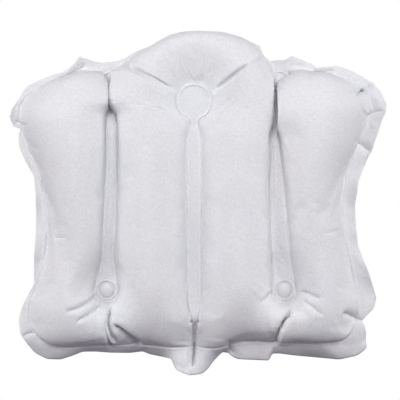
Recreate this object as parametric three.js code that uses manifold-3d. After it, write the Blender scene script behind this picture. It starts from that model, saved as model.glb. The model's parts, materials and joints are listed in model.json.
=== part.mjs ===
// Inflatable bath pillow as it sits on a wall, in millimetres with +Z up.
// The wall is the plane y = 0, the pillow's front faces -Y and +X is to the right seen from the front.
// The origin lies on the wall, at the centre of the four suction cups.
import * as THREE from 'three';
import { mergeVertices } from 'three/addons/utils/BufferGeometryUtils.js';
import Module from 'manifold-3d';

// Chambers, welds and free edge
const centreSeamWidth = 13;
const sideSeamWidth = 12;
const centreTubeWidth = 76;
const sideTubeWidth = 57;
const shoulderFlare = 29;
const footFlare = 18;
const seamLean = 2.5;
const studRise = 107;
const padRadius = 13;
const ringRadius = 19.5;
const ringDrop = 21.5;
const headPassage = 44;
const footPassage = 43.5;
const flangeWidth = 12.5;
const footTabWidth = 34;
const footTabDrop = 17;
const footTabRadius = 6;

// Sheets, how far they bulge as shares of a chamber's width, and the gap left to the wall
const frontSheet = 1.4;
const backSheet = 0.6;
const weldGap = 0.3;
const frontCrownShare = 0.54;
const backCrownShare = 0.265;
const endRound = 30;
const ribPitch = 34;
const wallGap = 5;

// Suction cup, one moulding with its stud and pull tab
const cupRadius = 21;
const cupDepth = 11;
const cupCrownWall = 1.8;
const cupRimThickness = 1.6;
const cupLipWidth = 2;
const neckRadius = 3.6;
const collarRadius = 6;
const collarThickness = 1.2;
const waistRadius = 3.4;
const headRadius = 7.2;
const headHeight = 3.6;
const cupTabWidth = 9;
const cupTabLength = 9;
const cupTabThickness = 1.5;
const cupTabStandOff = 0.5;

// Eyelet ring, a dished washer that the stud's head sits in
const eyeletRadius = 10.6;
const eyeletRimWidth = 1.9;
const eyeletRimHeight = 2.3;
const eyeletWebThickness = 1.1;

// Inflation valve on the back
const valveHeight = 30;
const valveSeatRise = 0.3;
const valveSeatMargin = 1.5;
const valveFlangeRadius = 12.5;
const valveFlangeThickness = 1;
const valveMouthRadius = 7.8;
const webThickness = 0.7;
const webDepth = 4.9;
const stemRadius = 4.7;
const stemBoreRadius = 2.9;
const stemLength = 13;
const stemLipWidth = 1;
const stemLipThickness = 1.6;
const plugPinLength = 7;
const plugHeadRadius = 4.6;
const plugHeadThickness = 1.4;
const plugEarLength = 3;
const plugEarWidth = 4;
const flapThickness = 0.7;
const flapHingeWidth = 5;
const flapHingeLength = 1.2;
const strapWidth = 3.2;
const strapThickness = 0.7;
const strapReach = 4.4;

// Clearances, and how far a cut runs past what it cuts
const restGap = 0.3;
const runningClearance = 0.6;
const cutOverrun = 4;

// Places that follow from those sizes
const centreSeamEdge = centreSeamWidth / 2;
const sideSeamEdge = sideSeamWidth / 2;
const seamX = centreSeamEdge + centreTubeWidth + sideSeamEdge;
const sideX = seamX + sideSeamEdge + sideTubeWidth;
const footX = sideX + footFlare;
const ring = { x: 0, z: studRise - ringDrop };
const topStud = { x: seamX - seamLean, z: studRise };
const bottomStud = { x: seamX + seamLean, z: -studRise };
const headZ = ring.z + ringRadius + headPassage;
const footZ = bottomStud.z - padRadius - footPassage;
const studHole = waistRadius + runningClearance;
const backCrown = backCrownShare * centreTubeWidth;
const backWeldY = -(wallGap + backCrown + backSheet);
const frontWeldY = backWeldY - weldGap;

// Plan points are [x, z] pairs of the right half; the left half mirrors them
const { lerp, degToRad } = THREE.MathUtils;
const onCircle = (centre, radius) => (degrees) => [
  centre.x + radius * Math.cos(degToRad(degrees)),
  centre.z + radius * Math.sin(degToRad(degrees)),
];
const onSeam = (edge) => (share) => [
  lerp(topStud.x, bottomStud.x, share) + edge,
  lerp(topStud.z, bottomStud.z, share),
];
const mirrored = ([x, z]) => [-x, z];

// Where the outline's free points lie: along and down the head, down the centre seam, along and
// up the foot, and out to the flare and up the side
const headShares = [[0.34, 0.04], [0.64, 0.3]];
const centreSeamShares = [0, 0.29, 0.66, 0.79, 0.9];
const footShares = [[0.04, 0.115], [0.24, 0], [0.52, 0], [0.79, 0.01], [0.96, 0.2], [1, 0.74]];
const sideFootShares = [[0.72, -0.86], [0.3, -0.66], [0, -0.08]];
const sideShoulderShares = [[0.48, 0.4], [1, 0.66], [0.98, 0.77], [0.6, 0.87]];

// The weld along the head, round the top pad, down the side seam, round the bottom pad and up again
const seamWeld = [
  [0, headZ],
  ...headShares.map(([along, fall]) => [along * seamX, headZ - fall * headPassage]),
  ...[132, 180, 222].map(onCircle(topStud, padRadius)),
  ...[0.1, 0.5, 0.9].map(onSeam(-sideSeamEdge)),
  ...[152, 190, 222, 248, 270, 296, 322, 350, 390].map(onCircle(bottomStud, padRadius)),
  ...[0.9, 0.5, 0.3, 0.1].map(onSeam(sideSeamEdge)),
  ...[-22, 42].map(onCircle(topStud, padRadius)),
];

// The weld that faces it point by point: round the ring, down the centre seam, along the foot
// and up the side to the shoulder
const edgeWeld = [
  ...[90, 66, 42, 18, -12, -46].map(onCircle(ring, ringRadius)),
  ...centreSeamShares.map((share) => [centreSeamEdge, lerp(ring.z - ringRadius, footZ, share)]),
  ...footShares.map(([along, rise]) => [
    lerp(centreSeamEdge, footX, along),
    lerp(footZ, bottomStud.z, rise),
  ]),
  ...sideFootShares.map(([flare, rise]) => [sideX + flare * footFlare, rise * studRise]),
  ...sideShoulderShares.map(([flare, rise]) => [sideX + flare * shoulderFlare, rise * studRise]),
];

// A smooth curve through plan points, in the plane y = 0
const planCurve = (points, closed) =>
  new THREE.CatmullRomCurve3(
    points.map(([x, z]) => new THREE.Vector3(x, 0, z)),
    closed,
    'centripetal',
  );
const bothHalves = (points) => [...points.slice(1).reverse().map(mirrored), ...points];
const seamCurve = planCurve(bothHalves(seamWeld), false);
const edgeCurve = planCurve(bothHalves(edgeWeld), false);

// One chamber runs from shoulder to shoulder between the two welds. Its ribs are straight lines
// from one weld to the other, closer together where the welds bend.
const ribs = [];
const spanCount = 2 * (seamWeld.length - 1);
for (let span = 0; span < spanCount; span++) {
  const from = span / spanCount;
  const to = (span + 1) / spanCount;
  const length = Math.max(
    seamCurve.getPoint(from).distanceTo(seamCurve.getPoint(to)),
    edgeCurve.getPoint(from).distanceTo(edgeCurve.getPoint(to)),
  );
  const steps = Math.max(1, Math.round(length / ribPitch));
  for (let step = 0; step < steps; step++) {
    const t = lerp(from, to, step / steps);
    ribs.push({ seam: seamCurve.getPoint(t), edge: edgeCurve.getPoint(t) });
  }
}
ribs.push({ seam: seamCurve.getPoint(1), edge: edgeCurve.getPoint(1) });

// A rib's chord is its own length, and its width is the chamber's, square to the way it runs
for (const rib of ribs) {
  rib.chord = rib.seam.distanceTo(rib.edge);
  rib.middle = rib.seam.clone().lerp(rib.edge, 0.5);
}
for (const [index, rib] of ribs.entries()) {
  const before = ribs[Math.max(index - 1, 0)].middle;
  const after = ribs[Math.min(index + 1, ribs.length - 1)].middle;
  const course = after.clone().sub(before).normalize();
  rib.width = rib.edge.clone().sub(rib.seam).cross(course).length();
}

const wasm = await Module();
wasm.setup();

// A closed body from a geometry: only its points and faces count, and slivers at poles are left out
function toSolid(geometry) {
  const bare = geometry.clone();
  bare.deleteAttribute('normal');
  bare.deleteAttribute('uv');
  const merged = mergeVertices(bare);
  const faces = [];
  for (let i = 0; i < merged.index.count; i += 3) {
    const [a, b, c] = [0, 1, 2].map((corner) => merged.index.getX(i + corner));
    if (a !== b && b !== c && c !== a) faces.push(a, b, c);
  }
  return new wasm.Manifold(
    new wasm.Mesh({
      numProp: 3,
      vertProperties: new Float32Array(merged.attributes.position.array),
      triVerts: new Uint32Array(faces),
    }),
  );
}

function toGeometry(solid) {
  const mesh = solid.getMesh();
  const geometry = new THREE.BufferGeometry();
  geometry.setAttribute('position', new THREE.BufferAttribute(mesh.vertProperties, 3));
  geometry.setIndex(new THREE.BufferAttribute(mesh.triVerts, 1));
  return geometry;
}

// A body through rings of points that all have the same count, closed by a fan at each end
function loft(rings) {
  const count = rings[0].length;
  const faces = [];
  for (let r = 0; r < rings.length - 1; r++) {
    for (let k = 0; k < count; k++) {
      const a = r * count + k;
      const b = r * count + ((k + 1) % count);
      faces.push(a, b, a + count, b, b + count, a + count);
    }
  }
  const last = (rings.length - 1) * count;
  for (let k = 1; k < count - 1; k++) {
    faces.push(0, k + 1, k, last, last + k, last + k + 1);
  }
  const geometry = new THREE.BufferGeometry();
  geometry.setFromPoints(rings.flat());
  geometry.setIndex(faces);
  return geometry;
}

// The bulge over the chamber: a half ellipse over each rib, as high as its share of the width and
// no higher than a centre tube's, which falls to nothing over endRound at both shoulders.
// outward is -1 for the front and 1 for the back.
const arcSteps = 6;
function bulge({ inset, foot, base, crownShare, outward }) {
  const shoulders = [ribs[0].middle, ribs.at(-1).middle];
  const rings = ribs.map((rib, index) => {
    const fromEnd = Math.min(...shoulders.map((middle) => middle.distanceTo(rib.middle)));
    const reach = Math.min(1, Math.max(0, fromEnd - inset) / endRound);
    const crown = crownShare * Math.min(rib.width, centreTubeWidth);
    const height = (crown - inset) * Math.sqrt(1 - (1 - reach) ** 2);
    const trim = index === 0 || index === ribs.length - 1 ? inset : 0;
    const neighbour = ribs[index === 0 ? 1 : index - 1].middle;
    const shift = neighbour.clone().sub(rib.middle).setLength(trim);
    const ringPoints = [];
    for (let step = 0; step <= arcSteps; step++) {
      const angle = (Math.PI * step) / arcSteps;
      const share = lerp(inset / rib.chord, 1 - inset / rib.chord, (1 - Math.cos(angle)) / 2);
      const point = rib.seam.clone().lerp(rib.edge, share).add(shift);
      ringPoints.push(point.setY(foot + outward * height * Math.sin(angle)));
    }
    ringPoints[0].y = foot;
    ringPoints[arcSteps].y = foot;
    return [...ringPoints, ringPoints[arcSteps].clone().setY(base), ringPoints[0].clone().setY(base)];
  });
  return toSolid(loft(outward < 0 ? rings : rings.reverse()));
}

// The free edge runs flangeWidth outside the outermost welds, past the tops of the side seams
const shoulderMiddle = ribs.at(-1).middle;
const rimWeld = [
  ...seamWeld.slice(0, 3),
  [topStud.x, topStud.z + padRadius],
  [shoulderMiddle.x, shoulderMiddle.z],
  ...edgeWeld.slice(12).reverse(),
];
const rimCurve = planCurve([...rimWeld, ...rimWeld.slice(1).reverse().map(mirrored)], true);
const rimSteps = 3 * rimWeld.length;
const rimPoints = [];
for (let step = 0; step < rimSteps; step++) {
  const point = rimCurve.getPoint(step / rimSteps);
  const tangent = rimCurve.getTangent(step / rimSteps);
  rimPoints.push(new THREE.Vector2(point.x - flangeWidth * tangent.z, point.z + flangeWidth * tangent.x));
}

// Turns an outline drawn in x and z into a plate between two depths
function plate(shape, fromY, toY) {
  const flat = new THREE.ExtrudeGeometry(shape, { depth: Math.abs(toY - fromY), bevelEnabled: false });
  return flat.rotateX(Math.PI / 2).translate(0, Math.max(fromY, toY), 0);
}

function footTabShape() {
  const half = footTabWidth / 2;
  const top = footZ;
  const bottom = footZ - flangeWidth - footTabDrop;
  const shape = new THREE.Shape();
  shape.moveTo(half, top);
  shape.lineTo(-half, top);
  shape.lineTo(-half, bottom + footTabRadius);
  shape.absarc(-half + footTabRadius, bottom + footTabRadius, footTabRadius, Math.PI, 1.5 * Math.PI);
  shape.absarc(half - footTabRadius, bottom + footTabRadius, footTabRadius, 1.5 * Math.PI, 2 * Math.PI);
  return shape;
}

const studs = [
  { name: 'top_left', x: -topStud.x, z: topStud.z },
  { name: 'top_right', x: topStud.x, z: topStud.z },
  { name: 'bottom_left', x: -bottomStud.x, z: bottomStud.z },
  { name: 'bottom_right', x: bottomStud.x, z: bottomStud.z },
];

const holeSides = 12;
function hole(x, z, radius, fromY, toY) {
  const length = Math.abs(toY - fromY) + 2 * cutOverrun;
  const cylinder = new THREE.CylinderGeometry(radius, radius, length, holeSides);
  return toSolid(cylinder.translate(x, (fromY + toY) / 2, z));
}

// One sheet: a flat plate with its foot tab, raised over the chamber and hollow behind
function sheet({ weldY, thickness, crownShare, outward }) {
  const faceY = weldY + outward * thickness;
  const outline = new THREE.Shape(rimPoints);
  return toSolid(plate(outline, weldY, faceY))
    .add(toSolid(plate(footTabShape(), weldY, faceY)))
    .add(bulge({ inset: 0, foot: faceY, base: (weldY + faceY) / 2, crownShare, outward }));
}

function withHoles(solid, { weldY, thickness, crownShare, outward }) {
  const faceY = weldY + outward * thickness;
  const inside = { inset: thickness, foot: weldY, base: weldY - outward * cutOverrun };
  const hollow = solid.subtract(bulge({ ...inside, crownShare, outward }));
  return studs.reduce((rest, { x, z }) => rest.subtract(hole(x, z, studHole, weldY, faceY)), hollow);
}

const front = { weldY: frontWeldY, thickness: frontSheet, crownShare: frontCrownShare, outward: -1 };
const back = { weldY: backWeldY, thickness: backSheet, crownShare: backCrownShare, outward: 1 };

// The valve sits over the crown of the right centre tube, on a flat round seat of the back sheet
const valve = { x: centreSeamEdge + centreTubeWidth / 2, z: valveHeight };
const backFaceY = backWeldY + backSheet;
const valveSeatY = backFaceY + backCrown + valveSeatRise;
const valveSeatRadius = valveFlangeRadius + valveSeatMargin;
const valveSheetHole = valveMouthRadius + runningClearance;
const seatDepth = valveSeatRise + 2 * backSheet + valveSeatMargin;

function backPanel() {
  const seat = new THREE.CylinderGeometry(valveSeatRadius, valveSeatRadius, seatDepth, 2 * holeSides);
  seat.translate(valve.x, valveSeatY - seatDepth / 2, valve.z);
  return withHoles(sheet(back).add(toSolid(seat)), back)
    .subtract(hole(valve.x, valve.z, valveSheetHole, valveSeatY, valveSeatY));
}

// A turned piece whose axis runs straight out of the wall at x, z. Its outline is a list of
// [radius, y] points that runs towards +Y along the outside.
const turnedSides = 20;
function turned(outline, { x, z }, sides = turnedSides) {
  const points = outline.map(([radius, y]) => new THREE.Vector2(radius, y));
  return new THREE.LatheGeometry(points, sides).translate(x, 0, z);
}

// A dome's outline points from its top on the axis to its edge, as a quarter ellipse
function domePoints(radius, edgeY, topY, steps) {
  return Array.from({ length: steps }, (_, step) => {
    const angle = (Math.PI * step) / (2 * steps);
    return [radius * Math.sin(angle), lerp(edgeY, topY, Math.cos(angle))];
  });
}

// A cup wall's outline points between two radii: y falls with the square of the radius
function bellPoints(fromRadius, toRadius, fullRadius, edgeY, topY, steps) {
  return Array.from({ length: steps }, (_, step) => {
    const radius = lerp(fromRadius, toRadius, step / steps);
    return [radius, lerp(topY, edgeY, (radius / fullRadius) ** 2)];
  });
}

const collarFrontY = backFaceY + restGap;
const collarBackY = collarFrontY + collarThickness;
const eyeletBackY = frontWeldY - frontSheet - restGap;
const headBackY = eyeletBackY - eyeletWebThickness - restGap;
const cupHollowRadius = cupRadius - cupLipWidth;

function suctionCup(stud) {
  const body = turned([
    ...domePoints(headRadius, headBackY - headHeight / 3, headBackY - headHeight, 3),
    [headRadius, headBackY - headHeight / 3],
    [headRadius - headHeight / 4, headBackY],
    [waistRadius, headBackY],
    [waistRadius, collarFrontY],
    [collarRadius, collarFrontY],
    [collarRadius, collarBackY],
    [neckRadius, collarBackY],
    ...bellPoints(neckRadius, cupRadius, cupRadius, -cupRimThickness, -cupDepth, 3),
    [cupRadius, -cupRimThickness],
    [cupRadius, 0],
    [cupHollowRadius, 0],
    ...bellPoints(cupHollowRadius, 0, cupHollowRadius, 0, cupCrownWall - cupDepth, 4),
    [0, cupCrownWall - cupDepth],
  ], stud);
  return toGeometry(toSolid(body).add(toSolid(cupTab(stud))));
}

// The pull tab hangs from the rim and ends in a half circle
function cupTab({ x, z }) {
  const half = cupTabWidth / 2;
  const end = z - cupRadius - cupTabLength + half;
  const shape = new THREE.Shape();
  shape.moveTo(x + half, z - cupHollowRadius);
  shape.lineTo(x - half, z - cupHollowRadius);
  shape.absarc(x, end, half, Math.PI, 2 * Math.PI);
  return plate(shape, -cupTabStandOff, -cupTabStandOff - cupTabThickness);
}

function eyeletRing(stud) {
  const webFrontY = eyeletBackY - eyeletWebThickness;
  const rimFrontY = eyeletBackY - eyeletRimHeight;
  const rimInner = eyeletRadius - eyeletRimWidth;
  return turned([
    [studHole, eyeletBackY],
    [studHole, webFrontY],
    [rimInner, webFrontY],
    [rimInner + eyeletRimWidth / 4, rimFrontY],
    [eyeletRadius - eyeletRimWidth / 4, rimFrontY],
    [eyeletRadius, rimFrontY + eyeletRimWidth / 3],
    [eyeletRadius, eyeletBackY],
    [studHole, eyeletBackY],
  ], stud);
}

// Valve depths, each from the seat outwards
const flangeInnerY = valveSeatY + restGap;
const flangeOuterY = flangeInnerY + valveFlangeThickness;
const stemLipRadius = stemRadius + stemLipWidth;
const stemLipY = flangeOuterY - restGap;
const stemEndY = stemLipY - stemLength;
const plugHeadY = stemLipY + restGap;

function valveFlange() {
  return turned([
    [valveMouthRadius, flangeInnerY],
    [valveFlangeRadius, flangeInnerY],
    [valveFlangeRadius, lerp(flangeInnerY, flangeOuterY, 0.5)],
    [valveFlangeRadius - valveFlangeThickness, flangeOuterY],
    [valveMouthRadius, flangeOuterY],
    [valveMouthRadius, flangeInnerY],
  ], valve);
}

// The soft web is a funnel from the flange's mouth in to the stem
function valveWeb() {
  const mouth = valveMouthRadius - restGap;
  const throat = stemRadius + restGap;
  const throatY = flangeOuterY - webDepth;
  return turned([
    [throat, throatY - webThickness],
    [throat + webThickness, throatY - webThickness],
    [mouth, flangeInnerY],
    [mouth, flangeOuterY],
    [mouth - webThickness, flangeOuterY],
    [mouth - webThickness, flangeInnerY],
    [throat, throatY],
    [throat, throatY - webThickness],
  ], valve);
}

function valveStem() {
  return turned([
    [stemBoreRadius, stemEndY],
    [stemRadius, stemEndY],
    [stemRadius, stemLipY - stemLipThickness],
    [stemLipRadius, stemLipY - stemLipThickness / 2],
    [stemLipRadius, stemLipY],
    [stemBoreRadius, stemLipY],
    [stemBoreRadius, stemEndY],
  ], valve);
}

// The plug's pin closes the bore, and the ear beside its head is for a fingernail
function valvePlug() {
  const pinRadius = stemBoreRadius - restGap;
  const pinEndY = plugHeadY - restGap - plugPinLength;
  const topY = plugHeadY + plugHeadThickness;
  const body = turned([
    [0, pinEndY],
    [pinRadius - restGap, pinEndY],
    [pinRadius, pinEndY + restGap],
    [pinRadius, plugHeadY],
    [plugHeadRadius, plugHeadY],
    [plugHeadRadius, topY - restGap],
    [plugHeadRadius - restGap, topY],
    [0, topY],
  ], valve);
  const ear = new THREE.Shape();
  const half = plugEarWidth / 2;
  const end = valve.z - plugHeadRadius - plugEarLength + half;
  ear.moveTo(valve.x + half, valve.z - stemBoreRadius);
  ear.lineTo(valve.x - half, valve.z - stemBoreRadius);
  ear.absarc(valve.x, end, half, Math.PI, 2 * Math.PI);
  const earInnerY = plugHeadY + plugHeadThickness / 4;
  const earSolid = toSolid(plate(ear, earInnerY, lerp(plugHeadY, topY, 0.75)));
  return toGeometry(toSolid(body).add(earSolid));
}

// The check flap covers the stem's inner end and hangs from a short tongue above it
function valveFlap() {
  const flapOuterY = stemEndY - restGap;
  const shape = new THREE.Shape();
  const half = flapHingeWidth / 2;
  const top = valve.z + stemRadius + flapHingeLength;
  const start = Math.acos(half / stemRadius);
  shape.moveTo(valve.x + half, top);
  shape.lineTo(valve.x - half, top);
  shape.absarc(valve.x, valve.z, stemRadius, Math.PI - start, 2 * Math.PI + start);
  return plate(shape, flapOuterY, flapOuterY - flapThickness);
}

// The strap loops from the stem's lip out over the flange and back onto the plug's head
function valveStrap() {
  const half = strapThickness / 2;
  const rootRadius = plugHeadRadius + restGap + half;
  const lowY = flangeOuterY + restGap + half;
  const highY = plugHeadY + plugHeadThickness + restGap + half;
  const route = [
    [rootRadius, stemLipY + restGap + half],
    [rootRadius + strapReach / 2, lowY],
    [rootRadius + strapReach - half, lowY + half],
    [rootRadius + strapReach, (lowY + highY) / 2],
    [rootRadius + strapReach - half, highY - half],
    [rootRadius + strapReach / 2, highY],
    [plugHeadRadius - strapWidth / 4, highY],
  ];
  const path = new THREE.CatmullRomCurve3(
    route.map(([radius, y]) => new THREE.Vector3(valve.x, y, valve.z + radius)),
    false,
    'centripetal',
  );
  const band = new THREE.Shape();
  band.moveTo(-strapWidth / 2, -half);
  band.lineTo(strapWidth / 2, -half);
  band.lineTo(strapWidth / 2, half);
  band.lineTo(-strapWidth / 2, half);
  return new THREE.ExtrudeGeometry(band, { steps: 3 * route.length, extrudePath: path });
}

const materials = {
  terry: { color: 0xdfe3ea, roughness: 0.95, metalness: 0 },
  backSheet: { color: 0xe3e8ee, roughness: 0.45, metalness: 0 },
  eyelet: { color: 0xeaeef3, roughness: 0.4, metalness: 0 },
  cup: { color: 0xdde6ee, roughness: 0.2, metalness: 0 },
  valve: { color: 0xe4eaf0, roughness: 0.35, metalness: 0 },
};

const pillow = new THREE.Group();
function addPiece(name, geometry, finish) {
  const mesh = new THREE.Mesh(geometry, new THREE.MeshStandardMaterial(finish));
  mesh.name = name;
  pillow.add(mesh);
}

addPiece('front_panel', toGeometry(withHoles(sheet(front), front)), materials.terry);
addPiece('back_panel', toGeometry(backPanel()), materials.backSheet);
for (const stud of studs) {
  addPiece(`eyelet_ring_${stud.name}`, eyeletRing(stud), materials.eyelet);
  addPiece(`suction_cup_${stud.name}`, suctionCup(stud), materials.cup);
}
addPiece('valve_flange', valveFlange(), materials.valve);
addPiece('valve_web', valveWeb(), materials.valve);
addPiece('valve_stem', valveStem(), materials.valve);
addPiece('valve_plug', valvePlug(), materials.valve);
addPiece('valve_flap', valveFlap(), materials.valve);
addPiece('valve_strap', valveStrap(), materials.valve);

export default pillow;
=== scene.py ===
"""An inflatable bath pillow: two welded sheets blown up into one chamber of four upright tubes.

Lengths are metres. The wall is the plane y = 0, the pillow's front faces -Y and +Z is up.
"""
import json

import bmesh
import bpy
import numpy as np
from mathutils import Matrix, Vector


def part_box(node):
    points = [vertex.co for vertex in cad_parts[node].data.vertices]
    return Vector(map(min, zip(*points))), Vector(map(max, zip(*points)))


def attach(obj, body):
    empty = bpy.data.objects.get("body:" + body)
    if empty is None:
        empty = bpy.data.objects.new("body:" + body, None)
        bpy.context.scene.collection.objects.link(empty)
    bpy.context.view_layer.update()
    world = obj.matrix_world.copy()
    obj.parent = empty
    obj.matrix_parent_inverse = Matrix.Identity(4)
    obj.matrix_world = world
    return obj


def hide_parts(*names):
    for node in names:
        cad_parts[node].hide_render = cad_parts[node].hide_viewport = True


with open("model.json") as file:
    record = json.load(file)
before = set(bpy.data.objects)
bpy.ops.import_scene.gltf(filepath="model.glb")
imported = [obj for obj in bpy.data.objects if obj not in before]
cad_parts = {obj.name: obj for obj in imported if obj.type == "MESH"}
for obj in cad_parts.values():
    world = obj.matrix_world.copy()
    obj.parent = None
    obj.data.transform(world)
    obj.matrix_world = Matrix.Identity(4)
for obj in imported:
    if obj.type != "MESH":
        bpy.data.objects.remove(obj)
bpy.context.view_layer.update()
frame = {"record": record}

# Front panel: terry cloth backed with PVC, welded to the back sheet in one press. One chamber runs
# from shoulder to shoulder between two welds: the seam weld goes along the head, down a side seam,
# round its stud pad and up again, and the edge weld round the ring, down the centre and outside.
MM = 0.001
TINY = MM / 1000
PIXEL = 1.025 * MM
PHOTO_CENTRE = np.array([195.5, 185.5])
FRONT_SHEET = 1.4 * MM
FRONT_WELD_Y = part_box("front_panel")[1][1]
FRONT_FACE_Y = FRONT_WELD_Y - FRONT_SHEET
PAD_RADIUS = 13 * MM
STUD_HOLE = 4.6 * MM
RING_RADIUS = 19 * PIXEL
STUDS = {
    joint["child"]: np.array([joint["pos_m"][0], joint["pos_m"][2]])
    for joint in frame["record"]["behaviour"]["joints"] if joint["child"].startswith("cup_")
}


def from_photo(points):
    """Photograph pixels to [x, z]: their distance from the photograph's centre times a pixel's size."""
    return (np.atleast_2d(points) - PHOTO_CENTRE) * [PIXEL, -PIXEL]


def on_circle(centre, radius, degrees):
    """Points on a circle: the centre plus the radius times (cosine, sine) of each angle."""
    angle = np.radians(degrees)
    return centre + radius * np.stack([np.cos(angle), np.sin(angle)], axis=-1)


RING_CENTRE = from_photo((194, 102))[0]

# Angles of the weld's keys on the ring and the pads, for the right half
RING_ANGLES = np.array([90, 74, 54, 34, 12, -14, -44, -70])
TOP_PAD_DOWN = np.array([130, 180, 222])
TOP_PAD_UP = np.array([-42, 0, 50])
BOTTOM_PAD = np.array([158, 186, 208, 226, 242, 256, 270, 284, 298, 314, 332, 354, 382])

# Photograph pixels of the stretches between, each from the head's top towards the shoulder
RIGHT = {
    "head": [(199, 31), (226, 33), (247, 40.5), (259, 51)],
    "seam_down": [(271, 104), (270.5, 130), (270, 165), (270, 200), (270.5, 235), (272, 262)],
    "seam_up": [(291.5, 262), (288.5, 235), (285.5, 200), (281.5, 165), (278.5, 130), (280, 106)],
    "centre": [(202, 140), (202, 172), (202, 205), (202, 245), (202, 285), (201, 307), (197.5, 320)],
    "foot": [(195.3, 331), (195.6, 343), (212, 347.5), (240, 341.5), (276, 341.5), (304, 342.5), (328, 342)],
    "corner": [(346, 338), (355, 322), (357, 304), (354, 286), (350, 264), (345, 236)],
    "side": [(342, 202), (347, 170), (358, 142), (366, 122), (369, 110), (367, 98), (360, 87)],
}
LEFT = {
    "head": [(199, 31), (171, 34.5), (150, 46.5), (134, 56)],
    "seam_down": [(117, 104), (117, 130), (117.3, 165), (116.5, 200), (115.5, 235), (115, 262)],
    "seam_up": [(100.5, 262), (103, 235), (105, 200), (106, 165), (107, 130), (106, 104)],
    "centre": [(186, 140), (186, 172), (186, 205), (186, 245), (186, 285), (187.5, 307), (191.5, 320)],
    "foot": [(193.9, 331), (193.4, 343), (176, 347), (150, 345), (119, 344), (88, 345.5), (60, 346)],
    "corner": [(40, 338), (30, 322), (30, 305), (36, 288), (43, 266), (47, 236)],
    "side": [(45, 202), (38, 170), (28, 145), (21, 126), (19, 115), (23, 101), (34, 90.5)],
}


def weld_keys(half, side, turn):
    """One half's two facing welds, key by key. turn takes the right half's angles to this half's."""
    top, bottom = STUDS["cup_top_" + side], STUDS["cup_bottom_" + side]
    seam = np.vstack([
        from_photo(half["head"]),
        on_circle(top, PAD_RADIUS, turn(TOP_PAD_DOWN)),
        from_photo(half["seam_down"]),
        on_circle(bottom, PAD_RADIUS, turn(BOTTOM_PAD)),
        from_photo(half["seam_up"]),
        on_circle(top, PAD_RADIUS, turn(TOP_PAD_UP)),
    ])
    edge = np.vstack([
        on_circle(RING_CENTRE, RING_RADIUS, turn(RING_ANGLES)),
        from_photo(half["centre"] + half["foot"] + half["corner"] + half["side"]),
    ])
    return seam, edge


SEAM_R, EDGE_R = weld_keys(RIGHT, "right", lambda angles: angles)
SEAM_L, EDGE_L = weld_keys(LEFT, "left", lambda angles: 180 - angles)

# Key numbers: where the head weld meets the top pad, the bottom pad's middle, the centre seam's
# foot and the shoulder. Key k of a side seam faces key PAIR - k across the strip between them.
LAST_KEY = len(SEAM_R) - 1
PAD_TOP_KEY = len(RIGHT["head"])
PAIR = LAST_KEY + PAD_TOP_KEY
PAD_FOOT_KEY = PAIR // 2
SEAM_FOOT_KEY = 16
RING_SPANS = len(RING_ANGLES) - 1
ROW_PITCH = 3 * MM
RING_PITCH = 1.3 * MM


def course(keys, at):
    """A curve through keys read at key numbers: each span is a cubic, and its slope at a key is the
    mean of the directions of the two chords that meet there, the shorter chord counting more."""
    chord = np.diff(keys, axis=0)
    length = np.linalg.norm(chord, axis=1, keepdims=True)
    unit = chord / length
    inner = (unit[:-1] * length[1:] + unit[1:] * length[:-1]) / (length[:-1] + length[1:])
    slope = np.vstack([unit[:1], inner, unit[-1:]])
    k = np.minimum(at.astype(int), len(chord) - 1)
    t = (at - k)[:, None]
    ends = (2 * t**3 - 3 * t**2 + 1) * keys[k] + (3 * t**2 - 2 * t**3) * keys[k + 1]
    return ends + length[k] * ((t**3 - 2 * t**2 + t) * slope[k] + (t**3 - t**2) * slope[k + 1])


def row_numbers():
    """Key numbers of the rows: evenly spaced in each span, crowding to the shoulder's closed end. A
    span has as many rows as its longest weld needs, and as the span across the strip has."""
    welds = (SEAM_R, EDGE_R, SEAM_L, EDGE_L)
    spans = np.max([np.linalg.norm(np.diff(weld, axis=0), axis=1) for weld in welds], axis=0)
    paired = np.arange(PAD_TOP_KEY, LAST_KEY)
    spans[paired] = np.maximum(spans[paired], spans[paired[::-1]])
    number = np.arange(LAST_KEY)
    fine = (number < RING_SPANS) | (number >= PAIR - RING_SPANS)
    steps = np.ceil(spans / np.where(fine, RING_PITCH, ROW_PITCH)).astype(int)
    rows = []
    for k in range(LAST_KEY):
        t = np.arange(steps[k]) / steps[k]
        if k == PAD_TOP_KEY:
            t = t**2
        if k == LAST_KEY - 1:
            t = 1 - (1 - t)**2
        rows.append(k + t)
    return np.append(np.concatenate(rows), LAST_KEY)


ROWS = row_numbers()
PAD_TOP_ROW, PAD_FOOT_ROW, SEAM_FOOT_ROW = np.searchsorted(ROWS, [PAD_TOP_KEY, PAD_FOOT_KEY, SEAM_FOOT_KEY])
TUBE_CELLS = 36
STRIP_CELLS = 16
FLANGE_CELLS = 8
SHOULDER_BOW = 6 * PIXEL
SHOULDER_KEYS = 3


def crowded(cells):
    """Shares from 0 to 1 that crowd at both ends: half of one minus the cosine of an even angle."""
    return (1 - np.cos(np.linspace(0, np.pi, cells + 1))) / 2


def between(start, end, shares):
    """A grid of points, one row from each start point to its end point, at the given shares."""
    return start[:, None] + (end - start)[:, None] * shares[:, None]


def tube_grid(seam, edge):
    """One half's chamber laid flat: rows straight from weld to weld, bowed upwards near the shoulder."""
    shares = crowded(TUBE_CELLS)
    near_end = np.clip(1 - (LAST_KEY - ROWS) / SHOULDER_KEYS, 0, 1) ** 2
    grid = between(seam, edge, shares)
    grid[:, :, 1] += SHOULDER_BOW * near_end[:, None] * 4 * shares * (1 - shares)
    return grid


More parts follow.
